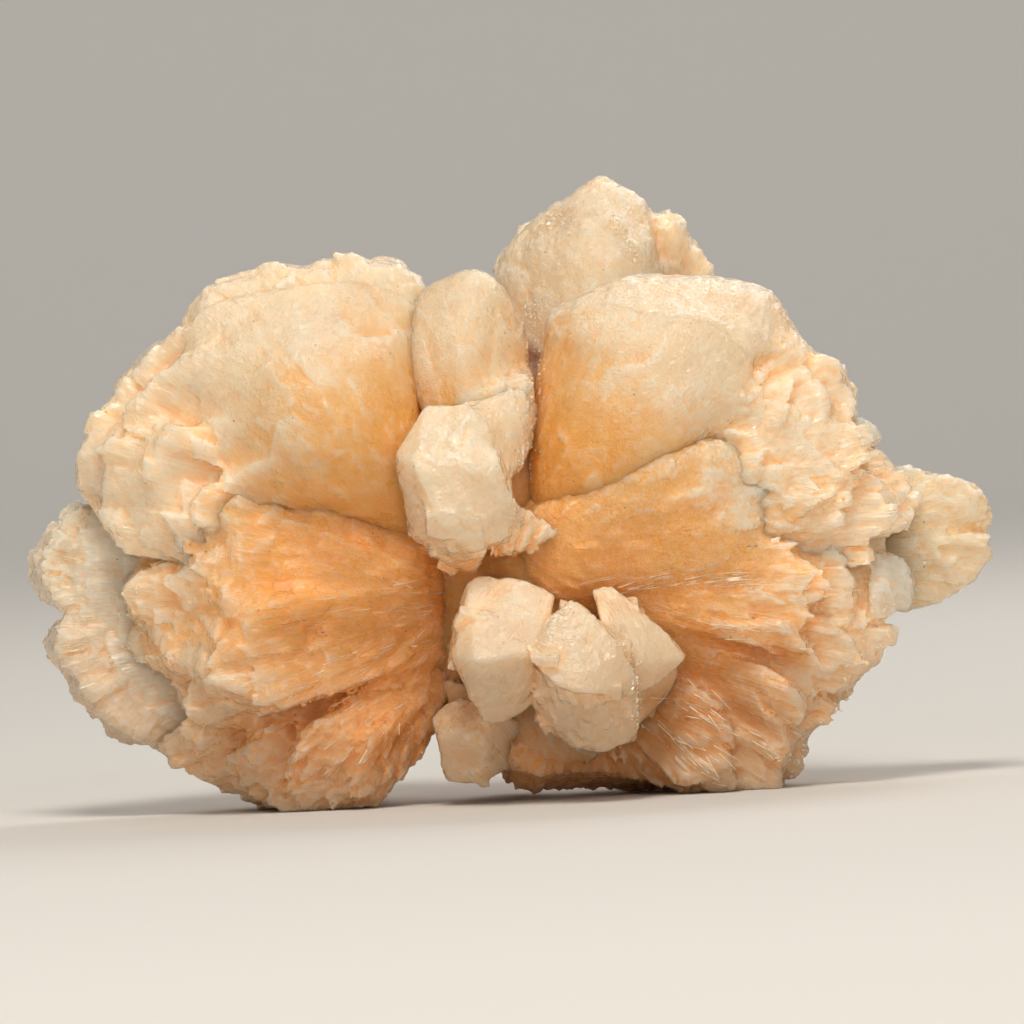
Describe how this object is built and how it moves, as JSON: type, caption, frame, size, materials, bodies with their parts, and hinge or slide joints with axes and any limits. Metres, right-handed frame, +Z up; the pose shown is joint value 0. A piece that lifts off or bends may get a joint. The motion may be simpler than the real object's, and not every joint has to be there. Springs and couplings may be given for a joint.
{
  "type": "stilbite cluster",
  "caption": "Free-standing mineral specimen: bow-tie sheaves of bladed salmon-to-cream stilbite crystals grown together, resting on the tips of both sheaves.",
  "frame": {"origin": "bottom centre of the cluster's box, on the surface that it stands on", "axes": "+X to the right along the bow-tie, +Y away from the viewer, +Z up"},
  "size_m": [0.0956, 0.0446, 0.0622],
  "materials": {
    "stilbite": "translucent crystal, orange at the waist and cream at the tips, pearly to vitreous"
  },
  "bodies": {
    "root": {"stilbite_cluster": "stilbite"}
  },
  "joints": []
}
